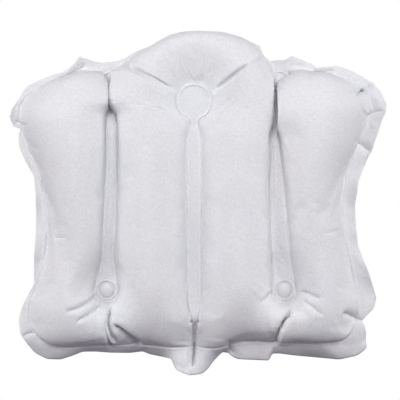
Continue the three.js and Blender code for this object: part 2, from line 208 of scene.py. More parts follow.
SEAMS = {"right": course(SEAM_R, ROWS), "left": course(SEAM_L, ROWS)}
EDGES = {"right": course(EDGE_R, ROWS), "left": course(EDGE_L, ROWS)}
TUBES = {side: tube_grid(SEAMS[side], EDGES[side]) for side in SEAMS}
SEAM_STRIPS = {
    side: between(
        SEAMS[side][PAD_TOP_ROW:PAD_FOOT_ROW + 1],
        SEAMS[side][PAD_FOOT_ROW:][::-1],
        crowded(STRIP_CELLS),
    )
    for side in SEAMS
}
CENTRE_STRIP = between(
    EDGES["left"][:SEAM_FOOT_ROW + 1], EDGES["right"][:SEAM_FOOT_ROW + 1], crowded(STRIP_CELLS)
)

# The free edge outside the outermost weld, clockwise from the head's top. Each row has the weld's
# pixel, the edge's pixel that faces it, and how many millimetres the edge is turned back there.
FREE_EDGE = np.array([
    (199, 31, 199, 31, 12), (226, 33, 226, 33, 12), (247, 40.5, 247.5, 40, 11), (256, 47, 259, 45, 6),
    (262, 57, 263.5, 56, 2), (271, 71, 270, 61, 0), (280, 70, 279, 60, 0), (287, 71, 285, 60, 0),
    (296, 70, 291, 56, 0), (305, 70, 299, 58, 0), (312, 70, 310, 63, 0), (318, 71, 316, 67, 0),
    (325, 73, 326, 66, 0), (335, 75, 338, 66, 0), (345, 79, 352, 71, 0), (353, 83, 364, 77, 0),
    (360, 87, 374, 83, 0), (365, 93, 381, 92, 0), (368, 104, 386, 103, 0), (369, 112, 385.5, 112, 0),
    (366, 122, 381, 123, 0), (358, 142, 374, 146, 0), (351, 157, 367, 160, 0), (344, 180, 358, 182, 0),
    (342, 202, 355, 205, 0), (343, 225, 356, 225, 0), (345, 240, 358, 245, 0), (350, 264, 365, 264, 0),
    (354, 286, 372.5, 284, 0), (357, 300, 377, 298, 2), (356, 310, 374, 309, 4),
    (356, 318, 365, 317, 3), (355, 322, 361, 322, 0), (351, 330, 366.5, 331, 3),
    (346, 337, 368.5, 340, 7), (342, 340, 367, 349, 10), (335, 342, 358, 356, 12),
    (326, 342, 340, 360, 12), (310, 342, 318, 358.5, 12), (295, 341.5, 298, 356.5, 12),
    (283, 340.5, 280, 354, 12), (275, 340, 272, 354, 12), (272, 340, 269.5, 361, 9),
    (240, 338, 237, 359.5, 9), (235, 338, 229, 355, 8), (224, 339, 222, 353, 12),
    (213, 340, 214, 361, 13), (207, 341, 208, 369, 11), (201, 342, 202, 374, 8),
    (195.5, 342, 195, 375, 6), (191, 342, 189, 375, 1), (183, 342, 176, 370, 0),
    (176, 341.5, 171.5, 359, 4), (166, 341, 160, 357, 12), (155, 339.5, 150, 355, 12),
    (145, 338.5, 142, 352, 12), (132, 338.5, 130, 353.5, 12), (112, 341, 110, 353, 11),
    (97, 342, 95, 352, 10), (84, 343, 82, 352, 6), (75, 344, 72, 356, 7), (66, 344.5, 60, 360, 8),
    (56, 344.5, 46, 359.5, 8), (46, 342, 34, 353, 7), (40, 338, 27, 344, 5), (33, 330, 20, 333, 2),
    (30, 320, 18.5, 320, 2), (30, 308, 22, 307, 0), (33, 296, 28, 295, 0), (38, 282, 34, 284, 0),
    (43, 266, 34, 266, 0), (46.5, 245, 35, 245, 0), (47, 220, 36, 220, 0), (46, 195, 36, 195, 0),
    (42, 178, 34, 176, 0), (37, 164, 26, 162, 0), (31, 150, 19, 147, 0), (27, 138, 18.5, 134, 0),
    (24, 131, 21, 129, 0), (22, 126, 14, 127, 0), (20, 117, 10, 117, 0), (21, 110, 12, 109, 0),
    (25, 103, 18, 100, 0), (31, 97, 26, 87, 0), (37, 93, 38, 81, 0), (50, 86, 52, 75, 0),
    (62, 81, 64, 69.5, 0), (74, 76, 74, 63, 0), (80, 73, 79, 56.5, 0), (86, 71, 86, 59, 0),
    (92, 70, 93, 61.5, 0), (100, 71, 101, 62.5, 0), (111, 69, 111, 62, 0), (119, 68, 119, 60.5, 0),
    (127, 61, 126, 57.5, 0), (134, 56, 133, 53, 3), (142, 51, 141, 49.5, 6), (150, 46.5, 149, 46, 10),
    (171, 34.5, 171, 34, 12), (198, 31, 198, 31, 12),
])


def outer_weld():
    """The outermost weld as one open loop, clockwise from the head's top: head weld, top of the side
    seam, shoulder, edge weld down to the centre seam's foot, and the left half the other way."""
    right, left = (
        np.vstack([
            SEAMS[side][:PAD_TOP_ROW], SEAM_STRIPS[side][0], TUBES[side][-1],
            EDGES[side][SEAM_FOOT_ROW:][::-1],
        ])
        for side in ("right", "left")
    )
    loop = np.vstack([right, CENTRE_STRIP[-1][::-1], left[::-1]])
    apart = np.linalg.norm(np.diff(loop, axis=0), axis=1) > TINY
    return loop[np.append(True, apart)]


def edge_offsets(loop):
    """From each loop point to its free edge as [x, z, y]: read between the table's rows by the length
    along the loop, each row standing at the loop point nearest to its weld pixel."""
    length = np.append(0, np.cumsum(np.linalg.norm(np.diff(loop, axis=0), axis=1)))
    anchors = from_photo(FREE_EDGE[:, :2])
    nearest = np.argmin(np.linalg.norm(loop[:, None] - anchors, axis=2), axis=0)
    at = np.maximum.accumulate(np.append(0, length[nearest[1:]]))
    edge = np.column_stack([from_photo(FREE_EDGE[:, 2:4]), FREE_EDGE[:, 4] * MM])
    read = np.stack([np.interp(length, at, edge[:, axis]) for axis in range(3)], axis=1)
    return read, length


OUTER_WELD = outer_weld()
FREE_PLACES, OUTER_LENGTH = edge_offsets(OUTER_WELD)

# The flange's waves: the height, the length in which each turns by a radian, and where it starts.
# They are full high where the flange has the full width, and somewhat higher where it is wider.
FLANGE_WAVES = [(2.4 * MM, 12.7 * MM, 0), (1.6 * MM, 7.1 * MM, 1)]
FULL_WIDTH = 14 * MM
MOST_WAVE = 1.6
TURN_POWER = 1.6


def flange_grid():
    """The flange laid from the outer weld to the free edge, as [x, z, y]. It waves in and out by two
    sines of the length along the weld, and both the waves and the turned-back edge grow by a power
    of the share of the flange's width."""
    shares = np.linspace(0, 1, FLANGE_CELLS + 1)
    plan = between(OUTER_WELD, FREE_PLACES[:, :2], shares)
    wave = sum(height * np.sin(OUTER_LENGTH / length + begin) for height, length, begin in FLANGE_WAVES)
    width = np.linalg.norm(FREE_PLACES[:, :2] - OUTER_WELD, axis=1)
    wave *= np.clip(width / FULL_WIDTH, 0, MOST_WAVE)
    depth = (FREE_PLACES[:, 2:] + wave[:, None]) * shares**TURN_POWER
    return np.concatenate([plan, depth[:, :, None]], axis=2)


def nearest_weld(plan, welds):
    """For every plan point, how far the nearest weld is and the length along that weld there: on each
    straight piece of each weld the foot of the point is found, and the nearest foot is kept."""
    least, along, start_length = np.full(len(plan), np.inf), np.zeros(len(plan)), 0
    for weld in welds:
        start, run = weld[:-1], np.diff(weld, axis=0)
        size = np.linalg.norm(run, axis=1)
        off = plan[:, None] - start
        share = np.clip(np.sum(off * run, axis=2) / np.maximum(size, TINY) ** 2, 0, 1)
        gap = np.linalg.norm(off - share[:, :, None] * run, axis=2)
        which = np.argmin(gap, axis=1)
        here = np.arange(len(plan)), which
        length = start_length + np.cumsum(size)[which] - size[which] * (1 - share[here])
        along = np.where(gap[here] < least, length, along)
        least = np.minimum(least, gap[here])
        start_length += size.sum()
    return least, along


def grid_faces(grid):
    """The four corner numbers of every cell of a grid whose points are numbered row by row."""
    rows, columns = grid.shape[:2]
    corner = (np.arange(rows - 1)[:, None] * columns + np.arange(columns - 1)).ravel()
    return np.stack([corner, corner + 1, corner + columns + 1, corner + columns], axis=1)


def merged(points, faces):
    """Points that are equal to a ten-thousandth of a millimetre become one."""
    _, first, same = np.unique(np.round(points, 7), axis=0, return_index=True, return_inverse=True)
    return points[first], same.ravel()[faces]


def assemble(grids):
    """Joins grids of [x, z, y] into points and faces: equal points become one, and each grid's cells
    are turned so that most of them face the front."""
    points, faces, start = [], [], 0
    for grid in grids:
        flat = grid.reshape(-1, 3)
        cells = grid_faces(grid)
        a, b, c = flat[cells[:, 0], :2], flat[cells[:, 1], :2], flat[cells[:, 2], :2]
        turn = np.sum((b - a)[:, 0] * (c - a)[:, 1] - (b - a)[:, 1] * (c - a)[:, 0])
        faces.append((cells if turn > 0 else cells[:, ::-1]) + start)
        points.append(flat)
        start += len(flat)
    return merged(np.vstack(points), np.vstack(faces))


def with_depth(grid):
    """A plan grid with a third column of zero depth."""
    return np.concatenate([grid, np.zeros(grid.shape[:2] + (1,))], axis=2)


TUBE_PARTS = [with_depth(tube) for tube in TUBES.values()]
WELD_PARTS = [with_depth(strip) for strip in (*SEAM_STRIPS.values(), CENTRE_STRIP)] + [flange_grid()]
FLAT, FACES = assemble(TUBE_PARTS + WELD_PARTS)
TUBE_FACE_COUNT = sum(len(grid_faces(grid)) for grid in TUBE_PARTS)
IN_CHAMBER = np.zeros(len(FLAT), bool)
IN_CHAMBER[FACES[:TUBE_FACE_COUNT]] = True
IN_CHAMBER[FACES[TUBE_FACE_COUNT:]] = False

WELD_GAP, WELD_LENGTH = nearest_weld(FLAT[:, :2], [*SEAMS.values(), *EDGES.values()])
OUTER_GAP = nearest_weld(FLAT[:, :2], [OUTER_WELD])[0]
IN_STRIP = ~IN_CHAMBER & (OUTER_GAP > WELD_GAP + MM / 100)
WELD_WIDTH = np.where(IN_CHAMBER, -WELD_GAP, WELD_GAP)

# Between the pads, and along the ring and the centre seam, the pull of the tubes bows the welded
# strips forward, and a seam's two neighbours with it
SEAM_BOW = 8.5 * MM
CENTRE_BOW = 10 * MM
BOW_REACH = 11 * MM
SEAM_RAMP = 55 * MM
CENTRE_RAMP = 30 * MM
PAD_CLEAR = 10 * MM
MIDDLE_HALF = 40 * MM


def smooth(share):
    """Goes from 0 to 1 as the share does, level at both ends: three squares less two cubes."""
    share = np.clip(share, 0, 1)
    return share * share * (3 - 2 * share)


def bow(plan):
    """How far plan points are bowed forward: each seam's bow times a Gaussian of the distance from
    its strip, fading to nothing at the pads and at the centre seam's foot."""
    seams = nearest_weld(plan, [seam[PAD_TOP_ROW:] for seam in SEAMS.values()])[0]
    centre = nearest_weld(plan, [edge[:SEAM_FOOT_ROW + 1] for edge in EDGES.values()])[0]
    tops = (STUDS["cup_top_left"][1] - PAD_CLEAR - plan[:, 1]) / SEAM_RAMP
    feet = (plan[:, 1] - STUDS["cup_bottom_left"][1] - PAD_CLEAR) / SEAM_RAMP
    foot = (plan[:, 1] - CENTRE_STRIP[-1, 0, 1]) / CENTRE_RAMP
    in_middle = np.abs(plan[:, 0]) < MIDDLE_HALF
    beside = np.exp(-(np.where(IN_STRIP, 0, seams) / BOW_REACH) ** 2) * ~in_middle
    middle = np.exp(-(np.where(IN_STRIP, 0, centre) / BOW_REACH) ** 2) * in_middle
    return SEAM_BOW * smooth(tops) * smooth(feet) * beside + CENTRE_BOW * smooth(foot) * middle


FLAT[:, 2] -= bow(FLAT[:, :2])
SOLVER_STEPS = 2500
SOLVER_REST = 1e-16 * MM
NO_AREA = 1e-12


def membrane():
    """The swelling of a sheet held at its welds: u is zero on the welds and its Laplacian is -1 in
    the chamber, so the root of 2u is a tube's round height. Solved on the flat cells cut into
    triangles, by conjugate gradients. Also gives the slope of u at each point."""
    cells = FACES[:TUBE_FACE_COUNT]
    tri = np.vstack([cells[:, [0, 1, 2]], cells[:, [0, 2, 3]]])
    corner = FLAT[tri, :2]
    edge = np.roll(corner, -2, axis=1) - np.roll(corner, -1, axis=1)
    twice = edge[:, 0, 0] * edge[:, 1, 1] - edge[:, 0, 1] * edge[:, 1, 0]
    keep = np.abs(twice) > NO_AREA
    tri, edge, twice = tri[keep], edge[keep], twice[keep]
    count = len(FLAT)
    stiff = np.einsum("tic,tjc->tij", edge, edge) / (2 * np.abs(twice))[:, None, None]
    row = np.repeat(tri, 3, axis=1).ravel()
    column = np.tile(tri, (1, 3)).ravel()
    stiff = stiff.ravel()
    load = np.bincount(tri.ravel(), np.repeat(np.abs(twice) / 6, 3), minlength=count)
    free = IN_CHAMBER
    diagonal = np.bincount(row[row == column], stiff[row == column], minlength=count)
    diagonal[~free] = 1
    u = np.zeros(count)
    rest = np.where(free, load, 0)
    ahead = rest / diagonal
    step = ahead.copy()
    power = rest @ ahead
    for _ in range(SOLVER_STEPS):
        pull = np.where(free, np.bincount(row, stiff * step[column], minlength=count), 0)
        size = power / (step @ pull)
        u += size * step
        rest -= size * pull
        ahead = rest / diagonal
        new_power = rest @ ahead
        if new_power < SOLVER_REST:
            break
        step = ahead + new_power / power * step
        power = new_power
    across = np.stack([-edge[:, :, 1], edge[:, :, 0]], axis=2)
    slope = np.einsum("ti,tic->tc", u[tri], across) / twice[:, None]
    weight = np.bincount(tri.ravel(), np.repeat(np.abs(twice), 3), minlength=count) + 1e-15
    slope = np.stack([
        np.bincount(tri.ravel(), np.repeat(slope[:, axis] * np.abs(twice), 3), minlength=count) / weight
        for axis in range(2)
    ], axis=1)
    return np.where(free, u, 0), np.where(free[:, None], slope, 0)


SWELL, SLOPE = membrane()
FRONT_FULLNESS = 1.17
BACK_FULLNESS = 0.53
OVERHANG = 0.12
WIDEST_HALF = 38 * MM

# The outer tubes start this far from the middle and the inner ones end here, blended over a stretch.
# The outer tubes rise gently from the side welds.
OUTER_START = 70 * MM
INNER_END = 92 * MM
TUBE_BLEND = 20 * MM
SIDE_ROW = np.searchsorted(ROWS, SEAM_FOOT_KEY + len(RIGHT["foot"]))
SIDE_RISE = 12 * MM
SIDE_POWER = 0.75
OUTER_FULLNESS = 1.14

# The head is slacker than the tubes' tops, and a crease runs between them on each side of the ring
HEAD_CREASES = from_photo([(126, 65), (176, 93), (254, 62), (215, 93)]).reshape(2, 2, 2)
HEAD_STEP = 2.5 * MM
HEAD_RISE = 22 * MM
HEAD_POWER = 1.15
HEAD_FULLNESS = 0.76
SEAM_EASE = 0.68
SEAM_EASE_REACH = 17 * MM
FOOT_EASE = 0.35
SAG_LINE = from_photo((0, 284))[0, 1]
SAG_REACH = 58 * MM
SAG = 0.2

# Beside the side seams the tubes rise gently too, from below the top pads down
FLANK_EASE = 0.42
FLANK_REACH = 15 * MM
FLANK_TOP = from_photo((0, 104))[0, 1]
FLANK_RAMP = 120 * MM

# The outer tubes' ridges are kept level: lower above the waist, where they are widest, and again
# towards the feet
RIDGE_TOP, RIDGE_FOOT = from_photo([(0, 205), (0, 215)])[:, 1]
RIDGE_RAMP = 90 * MM
TOP_LOSS = 0.15
FOOT_LOSS = 0.23

# Undersides round off slowly from the foot weld, and the outer tubes' less than the inner ones'
UNDER_EASE = 0.55
UNDER_REACH = 17 * MM
OUTER_UNDER_LOSS = 0.55


def above(plan, line):
    """How far plan points are above the straight line through two points."""
    run = line[1] - line[0]
    normal = np.array([-run[1], run[0]]) * np.sign(run[0]) / np.linalg.norm(run)
    return (plan - line[0]) @ normal


def head_share(plan):
    """1 on the head, above both creases, and 0 on the tubes."""
    inside = np.minimum(above(plan, HEAD_CREASES[0]), above(plan, HEAD_CREASES[1]))
    return smooth(inside / HEAD_STEP / 2 + 0.5)


def ease(plan):
    """What is left of the height: one less a share that dies away by an exponential of the distance
    from the centre seam, the side seams or the foot weld, all multiplied. The head rises from the
    ring, and the outer tubes from the side welds, by one less an exponential."""
    middle = [edge[:SEAM_FOOT_ROW + 1] for edge in EDGES.values()]
    away = nearest_weld(plan, middle)[0]
    footing = smooth((SAG_LINE - plan[:, 1]) / SAG_REACH)
    tube = 1 - (SEAM_EASE + (FOOT_EASE - SEAM_EASE) * footing) * np.exp(-away / SEAM_EASE_REACH)
    head = HEAD_FULLNESS * (1 - np.exp(-(away / HEAD_RISE) ** HEAD_POWER))
    share = head_share(plan)
    inner = smooth((INNER_END - np.abs(plan[:, 0])) / TUBE_BLEND)
    sagging = 1 - SAG * inner * footing
    sides = nearest_weld(plan, [edge[SIDE_ROW:] for edge in EDGES.values()])[0]
    rising = 1 - np.exp(-(sides / SIDE_RISE) ** SIDE_POWER)
    outside = smooth((np.abs(plan[:, 0]) - OUTER_START) / TUBE_BLEND)
    level = 1 - TOP_LOSS * smooth((plan[:, 1] - RIDGE_TOP) / RIDGE_RAMP)
    level -= FOOT_LOSS * smooth((RIDGE_FOOT - plan[:, 1]) / RIDGE_RAMP)
    side = 1 + outside * (OUTER_FULLNESS * rising * level - 1)
    seams = nearest_weld(plan, [seam[PAD_TOP_ROW:] for seam in SEAMS.values()])[0]
    flank = 1 - FLANK_EASE * smooth((FLANK_TOP - plan[:, 1]) / FLANK_RAMP) * np.exp(-seams / FLANK_REACH)
    feet = nearest_weld(plan, [edge[SEAM_FOOT_ROW:SIDE_ROW + 1] for edge in EDGES.values()])[0]
    under = 1 - UNDER_EASE * (1 - OUTER_UNDER_LOSS * outside) * np.exp(-feet / UNDER_REACH)
    return (tube * (1 - share) + head * share) * sagging * side * flank * under


def inflated(face_y, outward, height):
    """The blown-up sheet: each point goes out by its height, and sideways down the slope of u, so
    that the tubes swell a little over their welds."""
    plan = FLAT[:, :2] - OVERHANG * SLOPE * (height / WIDEST_HALF)[:, None]
    depth = face_y + outward * height + FLAT[:, 2]
    return np.stack([plan[:, 0], depth, plan[:, 1]], axis=1)


def mesh_piece(name, points, faces):
    """A mesh object at the origin. Cells whose corners have merged become triangles."""
    same = faces == np.roll(faces, -1, axis=1)
    whole = faces[~same.any(axis=1)]
    thin = faces[same.sum(axis=1) == 1]
    corners = thin[~(thin == np.roll(thin, -1, axis=1))].reshape(-1, 3)
    mesh = bpy.data.meshes.new(name)
    mesh.from_pydata(points.tolist(), [], whole.tolist() + corners.tolist())
    mesh.shade_smooth()
    piece = bpy.data.objects.new(name, mesh)
    bpy.context.scene.collection.objects.link(piece)
    return piece


def values(mesh, name):
    """A point attribute of one number as an array."""
    read = np.empty(len(mesh.vertices))
    mesh.attributes[name].data.foreach_get("value", read)
    return read


def give_values(mesh, name, numbers):
    """Stores one number at each point as an attribute."""
    if name not in mesh.attributes:
        mesh.attributes.new(name, "FLOAT", "POINT")
    mesh.attributes[name].data.foreach_set("value", numbers.astype(np.float32))


def places(mesh):
    """The mesh's points as rows of an array."""
    read = np.empty(3 * len(mesh.vertices))
    mesh.vertices.foreach_get("co", read)
    return read.reshape(-1, 3)


def move_to(mesh, points):
    """Puts the mesh's points at the rows of an array."""
    mesh.vertices.foreach_set("co", points.ravel())
    mesh.update()


CLOTH_FRAMES = 20


def blown(piece, pressure, slack, cap):
    """Some frames of cloth under air pressure, with every point outside the chamber held. slack is
    the share of spare cloth, and no point ends further than the cap from where it began."""
    start = places(piece.data)
    held = piece.vertex_groups.new(name="held")
    held.add(np.flatnonzero(~IN_CHAMBER).tolist(), 1.0, "REPLACE")
    cloth = piece.modifiers.new("blown", "CLOTH")
    settings = cloth.settings
    settings.quality = 5
    settings.mass = 0.3
    settings.tension_stiffness = settings.compression_stiffness = 25
    settings.shear_stiffness = 8
    settings.bending_stiffness = 1
    settings.vertex_group_mass = held.name
    settings.use_pressure = True
    settings.uniform_pressure_force = pressure
    settings.shrink_min = -slack
    settings.effector_weights.gravity = 0
    for number in range(1, CLOTH_FRAMES + 1):
        bpy.context.scene.frame_set(number)
    done = piece.evaluated_get(bpy.context.evaluated_depsgraph_get())
    moved = places(done.to_mesh()) - start
    done.to_mesh_clear()
    piece.modifiers.remove(cloth)
    bpy.context.scene.frame_set(1)
    far = np.linalg.norm(moved, axis=1, keepdims=True)
    print(piece.name, "cloth moved", far.max(), far.mean())
    move_to(piece.data, start + moved * np.minimum(1, cap / np.maximum(far, TINY)))


def divided(piece):
    """Each cell divided in four by one smooth subdivision, kept in the piece's mesh."""
    modifier = piece.modifiers.new("divided", "SUBSURF")
    modifier.levels = modifier.render_levels = 1
    done = piece.evaluated_get(bpy.context.evaluated_depsgraph_get())
    mesh = bpy.data.meshes.new_from_object(done)
    mesh.name = piece.name
    piece.modifiers.remove(modifier)
    piece.data = mesh
    piece.vertex_groups.clear()


def normals(mesh):
    """The mesh's outward directions at its points as rows of an array."""
    read = np.empty(3 * len(mesh.vertices))
    mesh.vertex_normals.foreach_get("vector", read)
    return read.reshape(-1, 3)


PUNCH_DEPTH = 5 * MM


def punched(piece, holes, radius, level):
    """Cuts round holes through a sheet where it lies flat near a depth: faces inside a hole go, and
    the points left inside it are pushed straight out to its circle. What hangs over a hole stays."""
    mesh = piece.data
    points = places(mesh)
    inside = np.zeros(len(points), bool)
    flat = np.abs(points[:, 1] - level) < PUNCH_DEPTH
    for hole in holes:
        off = points[:, [0, 2]] - hole
        gap = np.linalg.norm(off, axis=1)
        near = flat & (gap < radius)
        inside |= near
        out = off[near] / np.maximum(gap[near], TINY)[:, None]
        points[np.ix_(near, [0, 2])] = hole + out * radius
    move_to(mesh, points)
    work = bmesh.new()
    work.from_mesh(mesh)
    lost = [face for face in work.faces if all(inside[vert.index] for vert in face.verts)]
    bmesh.ops.delete(work, geom=lost, context="FACES")
    work.to_mesh(mesh)
    work.free()


# Folds pressed into the blown front, each a line of photograph pixels with its depth and its width
# in millimetres and how far the cloth stands proud on its left and its right seen along the line.
# Those that cross a weld and those in the flange go through both sheets.
FOLDS = [
    ([(127, 66), (142, 75), (158, 84), (174, 93)], 9.0, 1.5, 3.5, 0.0),
    ([(253, 63), (240, 72), (228, 81), (214, 93)], 6.0, 1.3, 0.2, 2.6),
    ([(98, 293), (86, 303), (66, 312)], 3.8, 1.6, 0.3, 1.2),
    ([(102, 302), (92, 311), (76, 322)], 3.2, 1.6, 0.8, 1.0),
    ([(111, 304), (109.5, 317), (111.5, 331), (117, 345)], 8.0, 1.3, 0.8, 2.2),
    ([(107, 316), (106.5, 328), (109, 340), (113, 349)], 3.0, 1.3, 1.2, 0.8),
    ([(113, 322), (123, 331), (134, 339.5), (143, 346)], 9.0, 2.0, 1.0, 0.0),
    ([(299, 291), (308, 293), (319, 299)], 3.0, 1.6, 0.8, 1.2),
    ([(301, 299), (311, 306), (322, 315)], 2.2, 1.8, 0.3, 1.0),
    ([(272, 290), (267, 296), (261, 302)], 3.0, 1.6, 0.3, 1.2),
    ([(290, 307), (287, 315), (280.5, 324), (277, 334), (275.5, 347)], 10.0, 1.7, 4.0, 0.6),
    ([(285, 315), (283, 322), (281.5, 330)], 4.0, 1.6, 0.5, 0.5),
    ([(342, 312), (350, 315), (358, 319.5)], 5.5, 2.4, 0.8, 0.0),
    ([(54, 237), (61, 238), (68, 237)], 1.3, 1.6, 0.0, 0.4),
    ([(322, 233), (330, 232), (336, 229)], 1.0, 1.6, 0.0, 0.3),
]
WELD_FOLDS = [
    ([(190.5, 320), (194.8, 323), (199, 320)], 3.0, 1.8, 0.0, 0.5),
    ([(194.8, 321), (194.5, 333), (194.5, 349)], 5.0, 1.3, 0.6, 0.6),
    ([(280, 246), (282, 254), (285, 262)], 2.0, 1.4, 0.3, 0.6),
]
FLANGE_FOLDS = [
    ([(194.5, 341), (193.5, 354), (191, 370)], 10.0, 2.2, 0.5, 2.0),
    ([(354, 95), (361, 91.5), (374, 84)], 5.0, 3.4, 0.5, 1.5),
    ([(353, 95), (358, 92.5), (365, 89)], 6.0, 1.8, 0.3, 1.5),
    ([(352, 140), (361, 145), (372, 153)], 3.5, 4.0, 0.5, 0.5),
    ([(364, 117), (372, 113), (384, 111)], 2.0, 3.0, 0.5, 0.5),
    ([(286, 67), (298, 65.5), (309, 68.5)], 1.5, 2.2, 0.0, 1.0),
    ([(311, 70.5), (322, 72), (336, 70)], 4.0, 2.2, 0.0, 1.5),
    ([(56, 80), (70, 74), (88, 63)], 6.0, 2.8, 0.3, 1.5),
    ([(354, 317), (361, 321), (369, 324)], 3.0, 2.0, 1.0, 1.0),
    ([(22, 336), (28, 334), (36, 333)], 2.0, 1.8, 0.2, 0.6),
    ([(15, 121), (21, 123), (26, 127)], 2.0, 2.0, 0.3, 0.8),
    ([(363, 322), (366, 334), (362, 345)], 1.5, 4.0, 0.3, 0.3),
    ([(229, 338), (229, 346), (234, 355)], 5.0, 2.6, 0.0, 1.0),
]
FORWARD = (0, -1, 0)
FOLD_SAMPLES = 60
FOLD_FADE = 0.22
FOLD_REACH = 10
FOLD_DRAW = 0.55
DRAW_REACH = 2.5
SWELL_REACH = 3

# A bead runs along each weld, lower along the outer ones
BEAD_PLACE = 2.0 * MM
BEAD_WIDTH = 1.1 * MM
BEAD_HEIGHT = 1.4 * MM
OUTER_BEAD = 0.35

# Painted light: the welded strips and pads are painted lighter to lift the shade between the tubes:
# the side ones fully, the centre one less towards its foot and more as it rises, and the ring least
STRIP_MIDDLE = from_photo((194, 245))[0]
STRIP_FADE = 90 * PIXEL
FOOT_PAINTED_LIGHT = 0.65
NECK_PAINTED_LIGHT = 1.10
RING_PAINTED_LIGHT = 0.42
RING_BLEND = 7 * MM
RING_CLEAR = 8 * MM


def folded(points, outward, folds):
    """Presses the folds into the sheet. Near a line the cloth is first drawn in to it, by about half
    just beside it. It then goes in by an exponential of the distance from the line, and stands proud
    beside it by the distance times an exponential. The reaches are counted in the fold's widths.
    outward is one direction for all points, or one for each."""
    points = points.copy()
    outward = np.broadcast_to(outward, points.shape)
    for line, depth, width, left, right in folds:
        keys = from_photo(line)
        track = course(keys, np.linspace(0, len(keys) - 1, FOLD_SAMPLES))
        plan = points[:, [0, 2]]
        reach = FOLD_REACH * width * MM
        low, high = track.min(axis=0) - reach, track.max(axis=0) + reach
        near = np.flatnonzero(np.all((plan > low) & (plan < high), axis=1))
        off = plan[near, None] - track
        gap = np.linalg.norm(off, axis=2)
        which = np.argmin(gap, axis=1)
        here = np.arange(len(near)), which
        gap, off = gap[here], off[here]
        run = np.gradient(track, axis=0)[which]
        on_left = run[:, 0] * off[:, 1] - run[:, 1] * off[:, 0] > 0
        share = which / (FOLD_SAMPLES - 1)
        fade = smooth(share / FOLD_FADE) * smooth((1 - share) / FOLD_FADE)
        drawn = FOLD_DRAW * fade * np.exp(-(gap / (DRAW_REACH * width * MM)) ** 2)
        points[near, 0] -= off[:, 0] * drawn
        points[near, 2] -= off[:, 1] * drawn
        gap = gap * (1 - drawn) / (width * MM)
        swell = np.where(on_left, left, right) * gap / SWELL_REACH * np.exp(1 - gap / SWELL_REACH)
        points[near] += (fade * (swell - depth * np.exp(-gap)) * MM)[:, None] * outward[near]
    return points


LEAN_TOP = 30 * MM
LEAN_FADE = 14 * MM
LEAN_FOOT_FADE = 1.4
LEAN_START = 2 * MM
LEAN_RISE = 11 * MM
LEAN_REACH = 17 * MM


def leaned(points, gap_middle, edge_left, edge_right, least, foot):
    """Leans the tubes beside a top stud together over its pad. Each tube's edge moves towards the
    gap's middle until it is the least distance away. The shift grows with the height above the weld,
    dies away behind the edge by a Gaussian, and fades above the pad and down to the foot below it."""
    off = points[:, 0] - gap_middle[0]
    rise = points[:, 2] - gap_middle[1]
    fade = smooth((LEAN_TOP - rise) / LEAN_FADE) * smooth((rise + foot) * LEAN_FOOT_FADE / foot)
    height = smooth((FRONT_FACE_Y - points[:, 1] - LEAN_START) / LEAN_RISE)
    edge = np.where(off < 0, edge_left, edge_right)
    behind = np.maximum(np.abs(off) - edge, 0) / LEAN_REACH
    shift = (edge + LEAN_START - least) * height * fade * np.exp(-behind**2)
    still = np.minimum(np.abs(off), least)
    moved = points.copy()
    moved[:, 0] = gap_middle[0] + np.sign(off) * np.maximum(np.abs(off) - shift, still)
    return moved


UNEVEN_WAVES = 16
UNEVEN_GAIN = 2.2


def uneven(points, scale, seed):
    """Slow unevenness between about -1 and 1: the mean of some sines in seeded directions, times a
    gain."""
    chance = np.random.default_rng(seed)
    ways = chance.normal(size=(UNEVEN_WAVES, 3))
    ways *= chance.uniform(0.6, 1.6, UNEVEN_WAVES)[:, None] / np.linalg.norm(ways, axis=1, keepdims=True)
    turns = points @ ways.T * (2 * np.pi / scale) + chance.uniform(0, 7, UNEVEN_WAVES)
    return np.sin(turns).mean(axis=1) * UNEVEN_GAIN


WELD_WAVE = 0.4 * MM
WELD_WAVE_SCALE = 20 * MM


def weld_waves(points):
    """The slow unevenness of the welded parts, the same for both sheets."""
    return WELD_WAVE * uneven(points * [1, 0, 1], WELD_WAVE_SCALE, seed=4)


INNER_FADE = 2 * MM
TUBE_WAVE = 0.7 * MM
TUBE_WAVE_SCALE = 45 * MM
FRONT_WALL = 1.0 * MM
FRONT_HEIGHT = FRONT_FULLNESS * np.sqrt(2 * SWELL) * ease(FLAT[:, :2])
INNER_WELD = smooth((OUTER_GAP - WELD_GAP) / INNER_FADE) * ~IN_CHAMBER
front_panel = mesh_piece("terry_front", inflated(FRONT_FACE_Y, -1, FRONT_HEIGHT), FACES)
give_values(front_panel.data, "weld_width", WELD_WIDTH)
give_values(front_panel.data, "inner_weld", INNER_WELD)
blown(front_panel, pressure=2.5, slack=0.005, cap=6 * MM)
divided(front_panel)

front_mesh = front_panel.data
front_points = places(front_mesh)
front_way = normals(front_mesh)
weld_width = values(front_mesh, "weld_width")
inner_weld = values(front_mesh, "inner_weld")
on_weld = smooth(weld_width / MM)
for gap_middle, edge_left, edge_right, least, foot in (
    ((275, 97), 8 * MM, 17 * MM, 1.6 * MM, 44 * MM),
    ((109, 91), 11 * MM, 13 * MM, 0.1 * MM, 26 * MM),
):
    front_points = leaned(front_points, from_photo(gap_middle)[0], edge_left, edge_right, least, foot)
front_points = folded(front_points, front_way, FOLDS + WELD_FOLDS)
front_points = folded(front_points, FORWARD, FLANGE_FOLDS)
bead = np.exp(-((weld_width - BEAD_PLACE) / BEAD_WIDTH) ** 2)
bead *= BEAD_HEIGHT * (OUTER_BEAD + (1 - OUTER_BEAD) * inner_weld)
swell = (1 - on_weld) * TUBE_WAVE * uneven(front_points, TUBE_WAVE_SCALE, seed=3)
front_points += (bead + swell)[:, None] * front_way
front_points[:, 1] += on_weld * weld_waves(front_points)
move_to(front_mesh, front_points)
give_values(front_mesh, "weld_width", weld_width)
# Painted light: the centre strip is painted lighter as it rises towards the ring, as if lit from above; the
# side strips and pads get the full lift
painted_light_rise = smooth((front_points[:, 2] - STRIP_MIDDLE[1]) / STRIP_FADE)
from_ring = np.linalg.norm(front_points[:, [0, 2]] - RING_CENTRE, axis=1)
